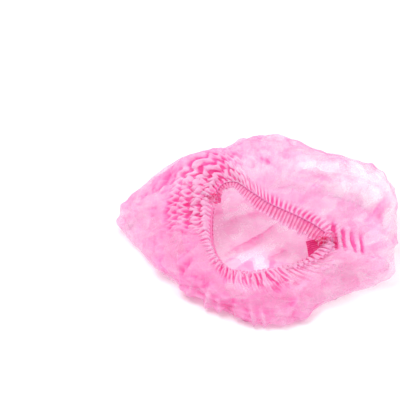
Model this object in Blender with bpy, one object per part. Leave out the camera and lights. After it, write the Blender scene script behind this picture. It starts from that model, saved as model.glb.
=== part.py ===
"""A disposable hair cover cap of thin non-woven cloth, opened and lying on its crown.

Metres, +Z up. The mouth faces up, the crown is flattened where it rests at z = 0,
and the origin is the middle of the cap's outline on that resting plane.
+X is the long way between the two end tacks, +Y is the high side of the bag.
"""
import math

import bmesh
import bpy
import numpy as np

# Overall size of the bag as it lies
BAG_WIDTH = 0.346
BAG_DEPTH = 0.282
BAG_HEIGHT = 0.0975
FOOT_TUCK = 0.014

# The mouth, measured along the seam
MOUTH_WIDTH = 0.144
MOUTH_DEPTH = 0.143
MOUTH_MIDDLE = (0.012, -0.012)
SEAM_HEIGHT = 0.076

# Cloth, elastic and the clearance between sewn pieces
WALL = 0.0010
ELASTIC_DIAMETER = 0.002
SEAM_GAP = 0.0003

# Gathers that the elastic draws up, and the ruffle beyond it
GATHER_PITCH = 0.0080
GATHER_DEPTH = 0.0034
BAG_PLEAT_DEPTH = 0.0050
RUFFLE_WIDTH = 0.0125
RUFFLE_PITCH = 0.0080
RUFFLE_DEPTH = 0.0040
BAG_PLEATS = 34
FOLD_DEPTH = 0.020
CREASE_DEPTH = 0.0028

# How far the ruffle turns up (+1) or down (-1) from the way the bag points at its seam
BACK_RISE_SHARE = -0.35
FRONT_RISE_SHARE = 0.55
RUFFLE_ROWS = (0.35, 0.70, 1.0)

# The welded pleat stacks that join the two elastics at the ends of the mouth
TACK_LENGTH = 0.019
TACK_DEPTH = 0.0045
TACK_RISE = 0.0065
TACK_CLEAR = 0.0003
TACK_PLEATS = 4
RUFFLE_SETBACK = 0.003
RIGHT_TURN = 0.0
LEFT_TURN = 0.5

# How steeply the cloth leaves the seam, and the rows that gathers and pleats reach
SEAM_LEAVING = 0.8
SEAM_LIFT = 0.015
GATHERS_LAST_ROW = 1.3
PLEATS_FIRST_ROW = 0.3
PLEATS_LAST_ROW = 2.7

# How the gathers fade with distance, how the pleats wander, the elastic's step for each
# gather, and the ruffle's depth at its first row as a share of the full depth
GATHER_FADE = 0.7
PLEAT_WANDER = 0.3
ELASTIC_STEP_SHARE = 0.75
FIRST_RUFFLE_SHARE = 0.6

# One row for each section of the bag, once round the mouth from +X towards +Y.
# seam_x, seam_y: shares of half the mouth's width and depth, from the mouth's middle.
# seam_z: share of SEAM_HEIGHT.
# crest_x, wide_x: shares of half of BAG_WIDTH. crest_y, wide_y: of half of BAG_DEPTH.
# crest_z, wide_z: shares of BAG_HEIGHT.
SECTION_COLUMNS = ("seam_x", "seam_y", "seam_z", "crest_x", "crest_y", "crest_z",
                   "wide_x", "wide_y", "wide_z")
SECTIONS = (
    (1.03, -0.22, 0.72, 0.77, -0.05, 0.52, 1.00, 0.02, 0.37),
    (0.86, -0.06, 0.82, 0.77, 0.19, 0.86, 0.99, 0.34, 0.62),
    (0.58, 0.09, 0.89, 0.67, 0.40, 0.98, 0.87, 0.62, 0.62),
    (0.32, 0.21, 0.94, 0.43, 0.60, 0.98, 0.57, 0.85, 0.55),
    (0.03, 0.37, 0.97, 0.17, 0.72, 1.00, 0.17, 0.97, 0.56),
    (-0.28, 0.66, 0.98, -0.09, 0.72, 0.98, -0.17, 0.94, 0.51),
    (-0.56, 0.92, 0.97, -0.35, 0.67, 0.96, -0.50, 0.87, 0.48),
    (-0.81, 0.88, 0.92, -0.57, 0.55, 0.72, -0.79, 0.66, 0.38),
    (-0.93, 0.55, 0.86, -0.66, 0.28, 0.58, -1.00, 0.33, 0.26),
    (-0.98, 0.13, 0.74, -0.62, 0.00, 0.50, -0.89, 0.03, 0.18),
    (-0.95, -0.34, 0.63, -0.50, -0.30, 0.46, -0.68, -0.36, 0.15),
    (-0.75, -0.78, 0.56, -0.33, -0.59, 0.41, -0.40, -0.70, 0.15),
    (-0.35, -0.98, 0.54, -0.05, -0.76, 0.38, 0.00, -0.99, 0.12),
    (0.11, -0.86, 0.55, 0.23, -0.68, 0.42, 0.38, -0.85, 0.14),
    (0.54, -0.74, 0.58, 0.50, -0.54, 0.44, 0.66, -0.60, 0.16),
    (0.83, -0.56, 0.64, 0.73, -0.35, 0.46, 0.96, -0.39, 0.21),
)

# Where the bag's cross rows lie, in guide points from the seam (0) over the crest (1)
# and the widest place (2) to the foot (3)
CLOTH_ROWS = (0.0, 0.10, 0.24, 0.42, 0.64, 0.88, 1.12, 1.36, 1.62, 1.88, 2.16, 2.46, 2.76, 3.0)

# Main dents and folds. turn: share of one turn from +X. width: share of a turn.
# depth: share of FOLD_DEPTH, less than 0 stands out. start, end: rows between which it runs.
FOLD_COLUMNS = ("turn", "width", "depth", "start", "end")
FOLDS = (
    (0.345, 0.022, 0.60, 0.5, 2.2),
    (0.300, 0.025, -0.15, 0.6, 2.2),
    (0.215, 0.018, 0.20, 0.7, 2.0),
    (0.180, 0.016, 0.28, 0.7, 2.0),
    (0.115, 0.022, 0.22, 0.6, 2.0),
    (0.020, 0.030, 0.60, 0.1, 1.7),
    (0.962, 0.022, 0.25, 0.4, 2.4),
    (0.905, 0.016, 0.30, 1.0, 2.9),
    (0.835, 0.014, 0.35, 1.0, 2.9),
    (0.775, 0.012, 0.25, 1.2, 2.9),
    (0.715, 0.014, 0.35, 1.0, 2.9),
    (0.640, 0.018, 0.20, 0.9, 2.8),
    (0.560, 0.022, 0.25, 0.5, 2.5),
    (0.455, 0.028, 0.35, 0.3, 1.9),
    (0.410, 0.022, -0.25, 0.4, 1.8),
    (0.385, 0.015, 0.30, 0.4, 1.8),
)

SECTION_COUNT = len(SECTIONS)
FINE_STEPS = 1440

CLOTH_PINK = (0.93, 0.42, 0.66)
ELASTIC_PINK = (0.62, 0.10, 0.30)


def spline(before, start, end, after, share):
    """A point on the smooth curve from start to end, as a share of the way."""
    leave, arrive = (end - before) / 2, (after - start) / 2
    back = 1 - share
    return (start * back * back * (1 + 2 * share) + end * share * share * (3 - 2 * share)
            + leave * share * back * back - arrive * share * share * back)


def section_guides():
    """Seam, crest, widest place and foot of every section, in metres."""
    guides = []
    for row in SECTIONS:
        part = dict(zip(SECTION_COLUMNS, row))
        seam = (MOUTH_MIDDLE[0] + part["seam_x"] * MOUTH_WIDTH / 2,
                MOUTH_MIDDLE[1] + part["seam_y"] * MOUTH_DEPTH / 2,
                part["seam_z"] * SEAM_HEIGHT)
        crest = (part["crest_x"] * BAG_WIDTH / 2, part["crest_y"] * BAG_DEPTH / 2,
                 part["crest_z"] * BAG_HEIGHT)
        wide = (part["wide_x"] * BAG_WIDTH / 2, part["wide_y"] * BAG_DEPTH / 2,
                part["wide_z"] * BAG_HEIGHT)
        drawn_in = 1 - FOOT_TUCK / math.hypot(wide[0], wide[1])
        foot = (wide[0] * drawn_in, wide[1] * drawn_in, 0.0)
        guides.append((seam, crest, wide, foot))
    return np.array(guides)


def guides_at(turn):
    """The four guide points at any turn, from a smooth closed curve through the sections."""
    guides = section_guides()
    place = np.asarray(turn) % 1.0 * SECTION_COUNT
    first = np.floor(place).astype(int) % SECTION_COUNT
    share = (place - np.floor(place))[:, None, None]
    near = [guides[(first + step) % SECTION_COUNT] for step in (-1, 0, 1, 2)]
    return spline(*near, share)


def smooth_row(guides, row):
    """The unfolded bag at one row value: 0 seam, 1 crest, 2 widest, 3 foot."""
    seam, crest, wide, foot = (guides[:, place] for place in range(4))
    before = seam - SEAM_LEAVING * (crest - seam) - (0.0, 0.0, SEAM_LIFT)
    after = foot + (foot - wide) * (1.0, 1.0, 0.0)
    run = (before, seam, crest, wide, foot, after)
    start = min(int(row), 2)
    return spline(*run[start:start + 4], row - start)


def fold_shift(turn, row):
    """How far the folds of the table press the cloth in, at each turn of one row."""
    shift = np.zeros_like(turn)
    for values in FOLDS:
        fold = dict(zip(FOLD_COLUMNS, values))
        if fold["start"] < row < fold["end"]:
            away = (turn - fold["turn"] + 0.5) % 1.0 - 0.5
            along = math.sin(math.pi * (row - fold["start"]) / (fold["end"] - fold["start"]))
            shift += fold["depth"] * FOLD_DEPTH * along * np.exp(-(away / fold["width"]) ** 2)
    return shift


def outward_of(rows, closed=True):
    """The outward direction at each point of a band of rows."""
    if closed:
        along = np.roll(rows, -1, axis=1) - np.roll(rows, 1, axis=1)
    else:
        along = np.gradient(rows, axis=1)
    outward = np.cross(np.gradient(rows, axis=0), along)
    return outward / np.linalg.norm(outward, axis=2, keepdims=True)


def seam_lengths():
    """Fine turns and the length of the seam up to each of them."""
    turn = np.arange(FINE_STEPS + 1) / FINE_STEPS
    steps = np.linalg.norm(np.diff(guides_at(turn)[:, 0], axis=0), axis=1)
    return turn, np.concatenate([[0.0], np.cumsum(steps)])


def gather_turns():
    """Turns that cut the seam into equal lengths, two for each gather."""
    turn, length = seam_lengths()
    gathers = max(8, round(length[-1] / GATHER_PITCH))
    return np.interp(np.arange(2 * gathers) / (2 * gathers) * length[-1], length, turn)


def seam_frames(turn):
    """At each turn of the seam: the middle of the wall's edge, the way on into the mouth
    and the outward direction."""
    guides = guides_at(turn)
    rows = np.array([smooth_row(guides, row) for row in CLOTH_ROWS[:2]])
    nearby = guides_at(turn + 1 / FINE_STEPS)[:, 0] - guides_at(turn - 1 / FINE_STEPS)[:, 0]
    seam_way = nearby / np.linalg.norm(nearby, axis=1, keepdims=True)
    inward = rows[0] - rows[1]
    inward -= seam_way * np.sum(inward * seam_way, axis=1, keepdims=True)
    inward /= np.linalg.norm(inward, axis=1, keepdims=True)
    outward = np.cross(seam_way, inward)
    return rows[0] - outward * WALL / 2, inward, outward


def gather_share(row):
    """How deep the gathers are at a row: none at the seam, most just past it."""
    return min(row / CLOTH_ROWS[1], 1.0) * max(0.0, 1 - row / GATHERS_LAST_ROW) ** GATHER_FADE


def crown_rows():
    """The cross rows of the bag, gathered at the seam, pleated and folded over its crest."""
    turn = gather_turns()
    guides = guides_at(turn)
    smooth = np.array([smooth_row(guides, row) for row in CLOTH_ROWS])
    outward = outward_of(smooth)
    zigzag = np.where(np.arange(len(turn)) % 2, 0.5, -0.5)
    rows = []
    for place, row in enumerate(CLOTH_ROWS):
        shift = -fold_shift(turn, row) + zigzag * GATHER_DEPTH * gather_share(row)
        if PLEATS_FIRST_ROW < row < PLEATS_LAST_ROW:
            along = math.sin(math.pi * (row - PLEATS_FIRST_ROW) / (PLEATS_LAST_ROW - PLEATS_FIRST_ROW))
            wander = PLEAT_WANDER * np.sin(6 * math.pi * turn)
            wave = np.sin(2 * math.pi * (BAG_PLEATS * turn + wander))
            shift += BAG_PLEAT_DEPTH / 2 * along * wave
            shift += CREASE_DEPTH / 2 * along * (1 if place % 2 else -1)
        rows.append(smooth[place] + outward[place] * shift[:, None])
    return rows


def middle_of_bag():
    """The middle of the bag's outline seen from above, which becomes the origin."""
    points = np.concatenate(crown_rows())
    return (points.min(axis=0) + points.max(axis=0))[:2] / 2


def place_piece(piece):
    """Put a finished piece into the scene with the middle of the bag at the origin."""
    across_x, across_y = middle_of_bag()
    piece.location = (-across_x, -across_y, 0.0)
    bpy.context.scene.collection.objects.link(piece)


def build_crown():
    """The bag with its flat bottom, open at the mouth."""
    rows = crown_rows()
    mesh = bmesh.new()
    add_band(mesh, rows, closed=True)
    mesh.verts.ensure_lookup_table()
    foot = mesh.verts[-len(rows[0]):]
    bottom = mesh.faces.new(foot)
    bmesh.ops.triangulate(mesh, faces=[bottom], ngon_method="BEAUTY")
    return finish_sheet("crown", mesh, offset=-1)


def add_band(mesh, rows, closed):
    """Quads between rows of points, wound so that they face outward."""
    points = [[mesh.verts.new(point) for point in row] for row in rows]
    count = len(rows[0])
    for upper, lower in zip(points, points[1:]):
        for place in range(count if closed else count - 1):
            after = (place + 1) % count
            mesh.faces.new((upper[place], lower[place], lower[after], upper[after]))


def finish_sheet(name, mesh, offset):
    """A sheet given its wall, as one object."""
    data = bpy.data.meshes.new(name)
    bmesh.ops.recalc_face_normals(mesh, faces=mesh.faces)
    mesh.to_mesh(data)
    mesh.free()
    sheet = bpy.data.objects.new(name, data)
    place_piece(sheet)
    wall = sheet.modifiers.new("wall", "SOLIDIFY")
    wall.thickness = WALL
    wall.offset = offset
    wall.use_even_offset = True
    wall.use_rim = True
    data.materials.append(plain_material("pink_cloth", CLOTH_PINK, 0.8))
    return sheet


def stretch_turns(start, end, step):
    """Turns along the seam between two turns, evenly spaced by length."""
    turn, length = seam_lengths()
    first, last = np.interp((start, end), turn, length)
    count = max(3, round((last - first) / step))
    return np.interp(np.linspace(first, last, count + 1), length, turn)


def tack_turn(side, way, setback=0.0):
    """Where a piece beside the tack of a side ends: way +1 after it, -1 before it."""
    turn, length = seam_lengths()
    middle = np.interp(side, turn, length)
    edge = middle + way * (TACK_LENGTH / 2 + SEAM_GAP + WALL / 2 + setback)
    return float(np.interp(edge % length[-1], length, turn))


def build_elastic(name, start, end):
    """A covered elastic, sewn beside the edge of the bag."""
    edge, inward, _ = seam_frames(stretch_turns(start, end, GATHER_PITCH * ELASTIC_STEP_SHARE))
    middle = edge + inward * (SEAM_GAP + ELASTIC_DIAMETER / 2)
    curve = bpy.data.curves.new(name, "CURVE")
    curve.dimensions = "3D"
    curve.bevel_depth = ELASTIC_DIAMETER / 2
    curve.bevel_resolution = 1
    curve.use_fill_caps = True
    line = curve.splines.new("POLY")
    line.points.add(len(middle) - 1)
    for point, place in zip(line.points, middle):
        point.co = (*place, 1.0)
    elastic = bpy.data.objects.new(name, curve)
    place_piece(elastic)
    curve.materials.append(plain_material("dark_pink_thread", ELASTIC_PINK, 0.6))
    return elastic


def build_ruffle(name, start, end, rise):
    """The frilled margin of cloth beyond the elastic, zigzagged along its free edge."""
    turn = stretch_turns(start, end, RUFFLE_PITCH / 2)
    edge, inward, outward = seam_frames(turn)
    base = edge + inward * (2 * SEAM_GAP + ELASTIC_DIAMETER)
    lean = inward * (1 - abs(rise)) + np.array((0.0, 0.0, rise))
    lean /= np.linalg.norm(lean, axis=1, keepdims=True)
    smooth = [base, base + inward * WALL]
    for share in RUFFLE_ROWS:
        smooth.append(smooth[1] + lean * RUFFLE_WIDTH * share)
    smooth = np.array(smooth)
    aside = outward_of(smooth, closed=False)
    zigzag = np.where(np.arange(len(turn)) % 2, 0.5, -0.5)
    rows = list(smooth[:2])
    for place, share in enumerate(RUFFLE_ROWS, start=2):
        depth = RUFFLE_DEPTH * min(1.0, share / RUFFLE_ROWS[0] * FIRST_RUFFLE_SHARE)
        rows.append(smooth[place] + aside[place] * (zigzag * depth)[:, None])
    mesh = bmesh.new()
    add_band(mesh, rows, closed=False)
    return finish_sheet(name, mesh, offset=0)


def build_tack(name, side):
    """The welded stack of pleats between the ends of the two elastics."""
    turn, length = seam_lengths()
    middle = np.interp(side, turn, length)
    limbs = 2 * TACK_PLEATS
    along = middle + TACK_LENGTH * (np.arange(limbs) / (limbs - 1) - 0.5)
    edge, inward, outward = seam_frames(np.interp(along % length[-1], length, turn))
    path = []
    for limb in range(limbs):
        low = edge[limb] - outward[limb] * TACK_RISE / 2
        high = edge[limb] + outward[limb] * TACK_RISE / 2
        ends = (low, high) if limb % 2 == 0 else (high, low)
        path.extend((end, inward[limb]) for end in ends)
    near = np.array([point + way * (SEAM_GAP + TACK_CLEAR) for point, way in path])
    far = np.array([point + way * (SEAM_GAP + TACK_CLEAR + TACK_DEPTH) for point, way in path])
    mesh = bmesh.new()
    add_band(mesh, [near, far], closed=False)
    return finish_sheet(name, mesh, offset=0)


def plain_material(name, colour, roughness):
    """One material for each finish, made once."""
    found = bpy.data.materials.get(name)
    if found:
        return found
    material = bpy.data.materials.new(name)
    material.use_nodes = True
    shader = material.node_tree.nodes["Principled BSDF"]
    shader.inputs["Base Color"].default_value = (*colour, 1.0)
    shader.inputs["Roughness"].default_value = roughness
    shader.inputs["Metallic"].default_value = 0.0
    return material


def main():
    for thing in list(bpy.data.objects):
        bpy.data.objects.remove(thing)
    build_crown()
    for name, start, end, rise in (("back", RIGHT_TURN, LEFT_TURN, BACK_RISE_SHARE),
                                   ("front", LEFT_TURN, RIGHT_TURN, FRONT_RISE_SHARE)):
        build_elastic(name + "_elastic", tack_turn(start, 1), tack_turn(end, -1))
        build_ruffle(name + "_ruffle", tack_turn(start, 1, RUFFLE_SETBACK),
                     tack_turn(end, -1, RUFFLE_SETBACK), rise)
    build_tack("right_tack", RIGHT_TURN)
    build_tack("left_tack", LEFT_TURN)


main()
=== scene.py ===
import math

import bpy
import numpy as np
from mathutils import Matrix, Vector


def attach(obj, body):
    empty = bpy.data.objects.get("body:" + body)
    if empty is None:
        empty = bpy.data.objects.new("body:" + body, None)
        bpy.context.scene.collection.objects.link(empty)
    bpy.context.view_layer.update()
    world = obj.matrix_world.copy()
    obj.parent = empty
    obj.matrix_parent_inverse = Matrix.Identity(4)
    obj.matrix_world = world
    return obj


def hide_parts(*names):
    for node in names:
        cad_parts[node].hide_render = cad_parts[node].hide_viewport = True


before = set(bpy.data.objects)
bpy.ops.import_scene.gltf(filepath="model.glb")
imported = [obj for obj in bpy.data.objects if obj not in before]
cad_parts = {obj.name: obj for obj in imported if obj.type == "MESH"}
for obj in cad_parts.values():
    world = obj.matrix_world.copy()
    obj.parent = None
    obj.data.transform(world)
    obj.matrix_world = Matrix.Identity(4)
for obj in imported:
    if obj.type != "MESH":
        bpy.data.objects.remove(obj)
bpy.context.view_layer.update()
bpy.ops.object.select_all(action="DESELECT")

# The bag as it lies, as in the model's source
BAG_WIDTH = 0.346
BAG_DEPTH = 0.282
BAG_HEIGHT = 0.0975
FOOT_TUCK = 0.014
MOUTH_WIDTH = 0.144
MOUTH_DEPTH = 0.143
MOUTH_MIDDLE = (0.012, -0.012)
SEAM_HEIGHT = 0.076
SEAM_LEAVING = 0.8
SEAM_LIFT = 0.015
BAG_MIDDLE = (-0.00058, -0.00063)
WALL = 0.0010
ELASTIC_DIAMETER = 0.002
FOLD_DEPTH = 0.020
SECTION_COLUMNS = ("seam_x", "seam_y", "seam_z", "crest_x", "crest_y", "crest_z",
                   "wide_x", "wide_y", "wide_z")
SECTIONS = (
    (1.03, -0.22, 0.72, 0.77, -0.05, 0.52, 1.00, 0.02, 0.37),
    (0.86, -0.06, 0.82, 0.77, 0.19, 0.86, 0.99, 0.34, 0.62),
    (0.58, 0.09, 0.89, 0.67, 0.40, 0.98, 0.87, 0.62, 0.62),
    (0.32, 0.21, 0.94, 0.43, 0.60, 0.98, 0.57, 0.85, 0.55),
    (0.03, 0.37, 0.97, 0.17, 0.72, 1.00, 0.17, 0.97, 0.56),
    (-0.28, 0.66, 0.98, -0.09, 0.72, 0.98, -0.17, 0.94, 0.51),
    (-0.56, 0.92, 0.97, -0.35, 0.67, 0.96, -0.50, 0.87, 0.48),
    (-0.81, 0.88, 0.92, -0.57, 0.55, 0.72, -0.79, 0.66, 0.38),
    (-0.93, 0.55, 0.86, -0.66, 0.28, 0.58, -1.00, 0.33, 0.26),
    (-0.98, 0.13, 0.74, -0.62, 0.00, 0.50, -0.89, 0.03, 0.18),
    (-0.95, -0.34, 0.63, -0.50, -0.30, 0.46, -0.68, -0.36, 0.15),
    (-0.75, -0.78, 0.56, -0.33, -0.59, 0.41, -0.40, -0.70, 0.15),
    (-0.35, -0.98, 0.54, -0.05, -0.76, 0.38, 0.00, -0.99, 0.12),
    (0.11, -0.86, 0.55, 0.23, -0.68, 0.42, 0.38, -0.85, 0.14),
    (0.54, -0.74, 0.58, 0.50, -0.54, 0.44, 0.66, -0.60, 0.16),
    (0.83, -0.56, 0.64, 0.73, -0.35, 0.46, 0.96, -0.39, 0.21),
)
FOLD_COLUMNS = ("turn", "width", "depth", "start", "end")
FOLDS = (
    (0.345, 0.022, 0.60, 0.5, 2.2),
    (0.300, 0.025, -0.15, 0.6, 2.2),
    (0.215, 0.018, 0.20, 0.7, 2.0),
    (0.180, 0.016, 0.28, 0.7, 2.0),
    (0.115, 0.022, 0.22, 0.6, 2.0),
    (0.020, 0.030, 0.60, 0.1, 1.7),
    (0.962, 0.022, 0.25, 0.4, 2.4),
    (0.905, 0.016, 0.30, 1.0, 2.9),
    (0.835, 0.014, 0.35, 1.0, 2.9),
    (0.775, 0.012, 0.25, 1.2, 2.9),
    (0.715, 0.014, 0.35, 1.0, 2.9),
    (0.640, 0.018, 0.20, 0.9, 2.8),
    (0.560, 0.022, 0.25, 0.5, 2.5),
    (0.455, 0.028, 0.35, 0.3, 1.9),
    (0.410, 0.022, -0.25, 0.4, 1.8),
    (0.385, 0.015, 0.30, 0.4, 1.8),
)
SECTION_COUNT = len(SECTIONS)
LEFT_TURN = 0.5

# The cloth as it was cut: a rectangle whose long edges carry the elastics
CUT_LENGTH = 0.52
GATHERS = 74
GATHER_POINTS = 10
COLUMNS = GATHERS * GATHER_POINTS
CUT_STEP = 2 * CUT_LENGTH / COLUMNS
BAG_ROWS = 104
BOTTOM_ROWS = 24
BOTTOM_ROW_WIDTH = 0.0050
ROW_STEPS = 180
TURN_STEPS = 4000
RUFFLE_WIDTH = 0.0135
RUFFLE_ROWS = 8
RUFFLE_GATHERS = {"back": 37, "front": 38}
TACK_SPAN = 0.0215
TABLE_CLEARANCE = 0.0004
LOWEST_POINT = 0.0003
PUFF_REACH = 0.005
SWAY_LENGTH = 0.026
SETTLE_STEPS = 330

# How the cloth lies at each section, in mm or as shares: depth of the gathers, how far they
# run from the seam, height of the crumples beyond them, spare length round and down, sway of
# the gathers' lines, how high the cloth stands over the seam, how many layers lie on each
# other, width of the frill, and height of the tiers
REGION_COLUMNS = ("gather", "run", "far", "loose", "slack", "sway", "puff", "layers", "margin",
                  "tiers")
REGIONS = (
    (2.4, 18, 1.6, 0.00, 0.00, 0.3, 1.0, 0.04, 1.35, 0.0),
    (2.8, 12, 1.7, 0.00, 0.00, 0.5, 0.0, 0.10, 1.35, 0.0),
    (2.4, 10, 1.7, 0.00, 0.00, 0.5, 0.0, 0.10, 1.40, 0.0),
    (2.4, 10, 1.8, 0.00, 0.00, 0.5, 0.0, 0.32, 1.30, 0.0),
    (2.6, 11, 2.0, 0.00, 0.00, 0.6, 0.0, 0.48, 1.10, 0.0),
    (3.0, 14, 2.2, 0.00, 0.00, 0.8, 0.0, 0.50, 0.80, 0.15),
    (3.4, 24, 2.0, 0.04, 0.02, 1.2, 1.0, 0.68, 0.60, 0.9),
    (3.6, 34, 1.8, 0.08, 0.03, 1.4, 2.5, 0.95, 0.55, 1.1),
    (3.8, 34, 1.6, 0.08, 0.03, 1.4, 4.0, 0.90, 0.50, 1.1),
    (2.6, 22, 2.2, 0.03, 0.02, 1.4, 5.0, 0.52, 0.50, 0.6),
    (1.1, 11, 2.8, 0.00, 0.00, 1.4, 5.5, 0.44, 0.50, 0.0),
    (2.2, 14, 2.8, 0.00, 0.00, 1.0, 5.5, 0.56, 0.75, 0.0),
    (4.0, 23, 2.6, 0.00, 0.00, 0.8, 5.0, 0.56, 0.90, 0.0),
    (4.8, 30, 2.4, 0.00, 0.00, 0.7, 4.5, 0.42, 1.00, 0.0),
    (4.6, 27, 2.2, 0.00, 0.00, 0.7, 4.0, 0.10, 1.10, 0.0),
    (3.6, 20, 1.9, 0.00, 0.00, 0.5, 2.5, 0.00, 1.20, 0.0),
)

# What is kept of the settled cloth's relief and what is pressed into it, lengths in metres
FAR_RELIEF_KEPT = 0.12
FOLD_OVERS = 150
FOLD_OVER_HEIGHT = 0.0024
CREASE_PITCH = 0.021
CREASE_HEIGHT = 0.0024
COARSE_HEIGHT = 0.0013
TIER_PITCH = 0.0150
TIER_HEIGHT = 0.0070
TIER_RISE = 0.68
TIER_WAVES = 62
TIER_WAVE_DEPTH = 0.0040
END_PLEAT_PITCH = 0.0112
END_PLEAT_FROM = 0.0025
END_PLEAT_LEAN = 0.12
END_PLEAT_MIDDLE = -0.029
END_PLEAT_HALF = 0.017
END_PLEAT_HEIGHT = 0.0055
LAP_HEIGHT = 0.0040

# The pointed teeth of the front outline: places by turns round the seam, height in metres
FRONT_TEETH_FROM = 0.655
FRONT_TEETH_TO = 0.790
FRONT_TOOTH_PITCH = 0.0175
FRONT_TOOTH_HEIGHT = 0.0032

rng = np.random.default_rng(41)


def spline(before, start, end, after, share):
    """A smooth way from start to end that also follows the values before and after them."""
    leave, arrive = (end - before) / 2, (after - start) / 2
    back = 1 - share
    return (start * back * back * (1 + 2 * share) + end * share * share * (3 - 2 * share)
            + leave * share * back * back - arrive * share * share * back)


def section_guides():
    """Seam, crest, widest place and foot of every section, in metres."""
    guides = []
    for row in SECTIONS:
        part = dict(zip(SECTION_COLUMNS, row))
        seam = (MOUTH_MIDDLE[0] + part["seam_x"] * MOUTH_WIDTH / 2,
                MOUTH_MIDDLE[1] + part["seam_y"] * MOUTH_DEPTH / 2,
                part["seam_z"] * SEAM_HEIGHT)
        crest = (part["crest_x"] * BAG_WIDTH / 2, part["crest_y"] * BAG_DEPTH / 2,
                 part["crest_z"] * BAG_HEIGHT)
        wide = (part["wide_x"] * BAG_WIDTH / 2, part["wide_y"] * BAG_DEPTH / 2,
                part["wide_z"] * BAG_HEIGHT)
        drawn_in = 1 - FOOT_TUCK / math.hypot(wide[0], wide[1])
        foot = (wide[0] * drawn_in, wide[1] * drawn_in, 0.0)
        guides.append((seam, crest, wide, foot))
    return np.array(guides) - (*BAG_MIDDLE, 0.0)


def guides_at(turn):
    """The sections' guides at any turns round the seam."""
    guides = section_guides()
    place = np.asarray(turn) % 1.0 * SECTION_COUNT
    first = np.floor(place).astype(int) % SECTION_COUNT
    share = (place - np.floor(place))[:, None, None]
    near = [guides[(first + step) % SECTION_COUNT] for step in (-1, 0, 1, 2)]
    return spline(*near, share)


def region(name, turn):
    """One column of the regions table, smooth all the way round."""
    table = np.array([row[REGION_COLUMNS.index(name)] for row in REGIONS])
    place = np.asarray(turn) % 1.0 * SECTION_COUNT
    first = np.floor(place).astype(int) % SECTION_COUNT
    share = place - np.floor(place)
    near = [table[(first + step) % SECTION_COUNT] for step in (-1, 0, 1, 2)]
    return spline(*near, share)


def smooth_row(guides, row):
    """One row of the bag: 0 is the seam, 1 the crest, 2 the widest place and 3 the foot."""
    seam, crest, wide, foot = (guides[:, place] for place in range(4))
    before = seam - SEAM_LEAVING * (crest - seam) - (0.0, 0.0, SEAM_LIFT)
    after = foot + (foot - wide) * (1.0, 1.0, 0.0)
    run = (before, seam, crest, wide, foot, after)
    start = min(int(row), 2)
    return spline(*run[start:start + 4], row - start)


def fold_shift(turn, row):
    """How far the main folds draw the bag in at one row."""
    shift = np.zeros_like(turn)
    for values in FOLDS:
        fold = dict(zip(FOLD_COLUMNS, values))
        if fold["start"] < row < fold["end"]:
            away = (turn - fold["turn"] + 0.5) % 1.0 - 0.5
            along = math.sin(math.pi * (row - fold["start"]) / (fold["end"] - fold["start"]))
            shift += fold["depth"] * FOLD_DEPTH * along * np.exp(-(away / fold["width"]) ** 2)
    return shift


def lengths(vectors):
    return np.linalg.norm(vectors, axis=-1, keepdims=True)


def outward_of(rows, closed=True):
    """The outward direction at each point of a band of rows."""
    if closed:
        along = np.roll(rows, -1, axis=1) - np.roll(rows, 1, axis=1)
    else:
        along = np.gradient(rows, axis=1)
    outward = np.cross(np.gradient(rows, axis=0), along)
    return outward / np.maximum(lengths(outward), 1e-9)


def even_turns(count, start=0.0, end=1.0, closed=True):
    """Turns that cut a stretch of the seam into equal lengths."""
    turn = np.arange(TURN_STEPS + 1) / TURN_STEPS
    steps = lengths(np.diff(guides_at(turn)[:, 0], axis=0))[:, 0]
    length = np.concatenate([[0.0], np.cumsum(steps)])
    first, last = np.interp((start, end), turn, length)
    wanted = np.linspace(first, last, count, endpoint=not closed)
    return np.interp(wanted, length, turn)


def random_walk(count, pulls, spread, closed=True):
    """Smooth noise along a line of count places: pulls is how many bumps it has."""
    knots = rng.normal(0.0, spread, pulls)
    if closed:
        place = np.arange(count) / count * pulls
        knots = np.concatenate([knots, knots[:3]])
    else:
        knots = np.concatenate([knots, knots[-1:], knots[-1:]])
        place = np.linspace(0, pulls - 1, count)
    first = np.minimum(place.astype(int), len(knots) - 2)
    share = place - first
    share = share * share * (3 - 2 * share)
    return knots[first] * (1 - share) + knots[first + 1] * share


def cloth_noise(rows, columns, down, round_count, spread=1.0):
    """Smooth noise over a band: down bumps between its edges, round_count bumps round it."""
    lines = [random_walk(columns, round_count, spread) for _ in range(down + 2)]
    place = np.linspace(0, down, rows)
    first = np.minimum(place.astype(int), down)
    share = (place - first)[:, None]
    share = share * share * (3 - 2 * share)
    lines = np.array(lines)
    return lines[first] * (1 - share) + lines[first + 1] * share


def pull_pairs(points, moves, other, rest, strength, way, closed):
    """Adds to moves what brings each point and its neighbour to their length apart."""
    down, along = other
    near = points
    far = np.roll(points, (-down, -along), axis=(0, 1))
    gap = far - near
    size = np.maximum(lengths(gap), 1e-9)
    off = (size - rest) / size * gap * (0.5 * strength)
    if way < 0:
        off = np.where(size < rest, off, 0.0)
    if down:
        off[-down:] = 0.0
    if not closed:
        if along > 0:
            off[:, -along:] = 0.0
        elif along < 0:
            off[:, :-along] = 0.0
    moves += off
    moves -= np.roll(off, (down, along), axis=(0, 1))


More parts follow.
